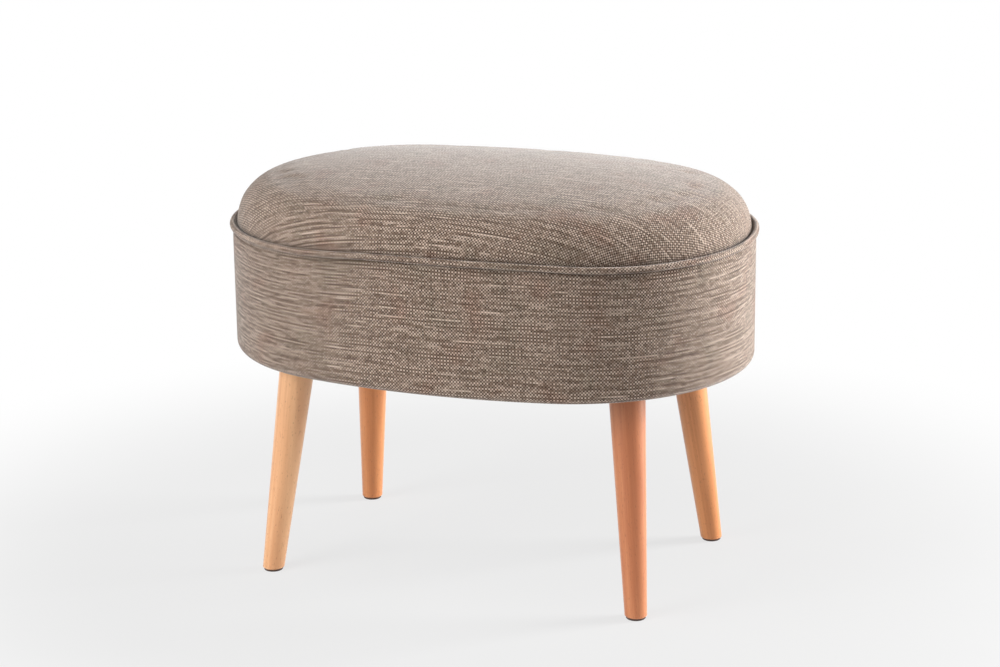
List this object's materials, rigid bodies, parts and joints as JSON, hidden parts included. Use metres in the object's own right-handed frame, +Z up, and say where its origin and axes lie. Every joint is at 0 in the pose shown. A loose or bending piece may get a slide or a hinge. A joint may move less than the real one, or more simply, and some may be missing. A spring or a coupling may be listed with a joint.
{
  "type": "pouf",
  "caption": "Oval upholstered pouf with a crowned, piped seat and a plain band, on splayed, tapered wooden legs.",
  "frame": {"origin": "on the floor, under the middle of the body", "axes": "+X along the length of the body, -Y to the front, +Z up"},
  "size_m": [0.6066, 0.4266, 0.46],
  "materials": {
    "upholstery": "heathered brown-grey woven cloth",
    "piping_cord": "twisted cotton cord",
    "wadding": "white polyester fibre",
    "foam": "pale yellow foam",
    "board": "plywood, unfinished",
    "post_timber": "sawn softwood",
    "hardboard": "brown hardboard",
    "dust_cloth": "black non-woven cloth",
    "leg_timber": "beech under satin clear lacquer",
    "plated_steel": "zinc plated",
    "fastener_steel": "bright steel wire",
    "glide_plastic": "dark brown"
  },
  "bodies": {
    "root": {"top_panel": "upholstery", "side_band": "upholstery", "piping_sleeve": "upholstery", "piping_cord": "piping_cord", "seat_wadding": "wadding", "seat_foam": "foam", "side_foam": "foam", "base_board": "board", "deck_board": "board", "post_right": "post_timber", "post_rear_right": "post_timber", "post_rear": "post_timber", "post_rear_left": "post_timber", "post_left": "post_timber", "post_front_left": "post_timber", "post_front": "post_timber", "post_front_right": "post_timber", "wall_panel": "hardboard", "dust_cover": "dust_cloth", "leg_front_left": "leg_timber", "leg_front_right": "leg_timber", "leg_rear_left": "leg_timber", "leg_rear_right": "leg_timber", "leg_plate_front_left": "plated_steel", "leg_plate_front_right": "plated_steel", "leg_plate_rear_left": "plated_steel", "leg_plate_rear_right": "plated_steel", "hanger_bolt_front_left": "plated_steel", "hanger_bolt_front_right": "plated_steel", "hanger_bolt_rear_left": "plated_steel", "hanger_bolt_rear_right": "plated_steel", "leg_plate_screws": "plated_steel", "post_screws": "fastener_steel", "wall_nails": "fastener_steel", "cover_staples": "fastener_steel", "dust_cover_staples": "fastener_steel", "glide_nails": "fastener_steel", "glide_front_left": "glide_plastic", "glide_front_right": "glide_plastic", "glide_rear_left": "glide_plastic", "glide_rear_right": "glide_plastic"}
  },
  "joints": []
}
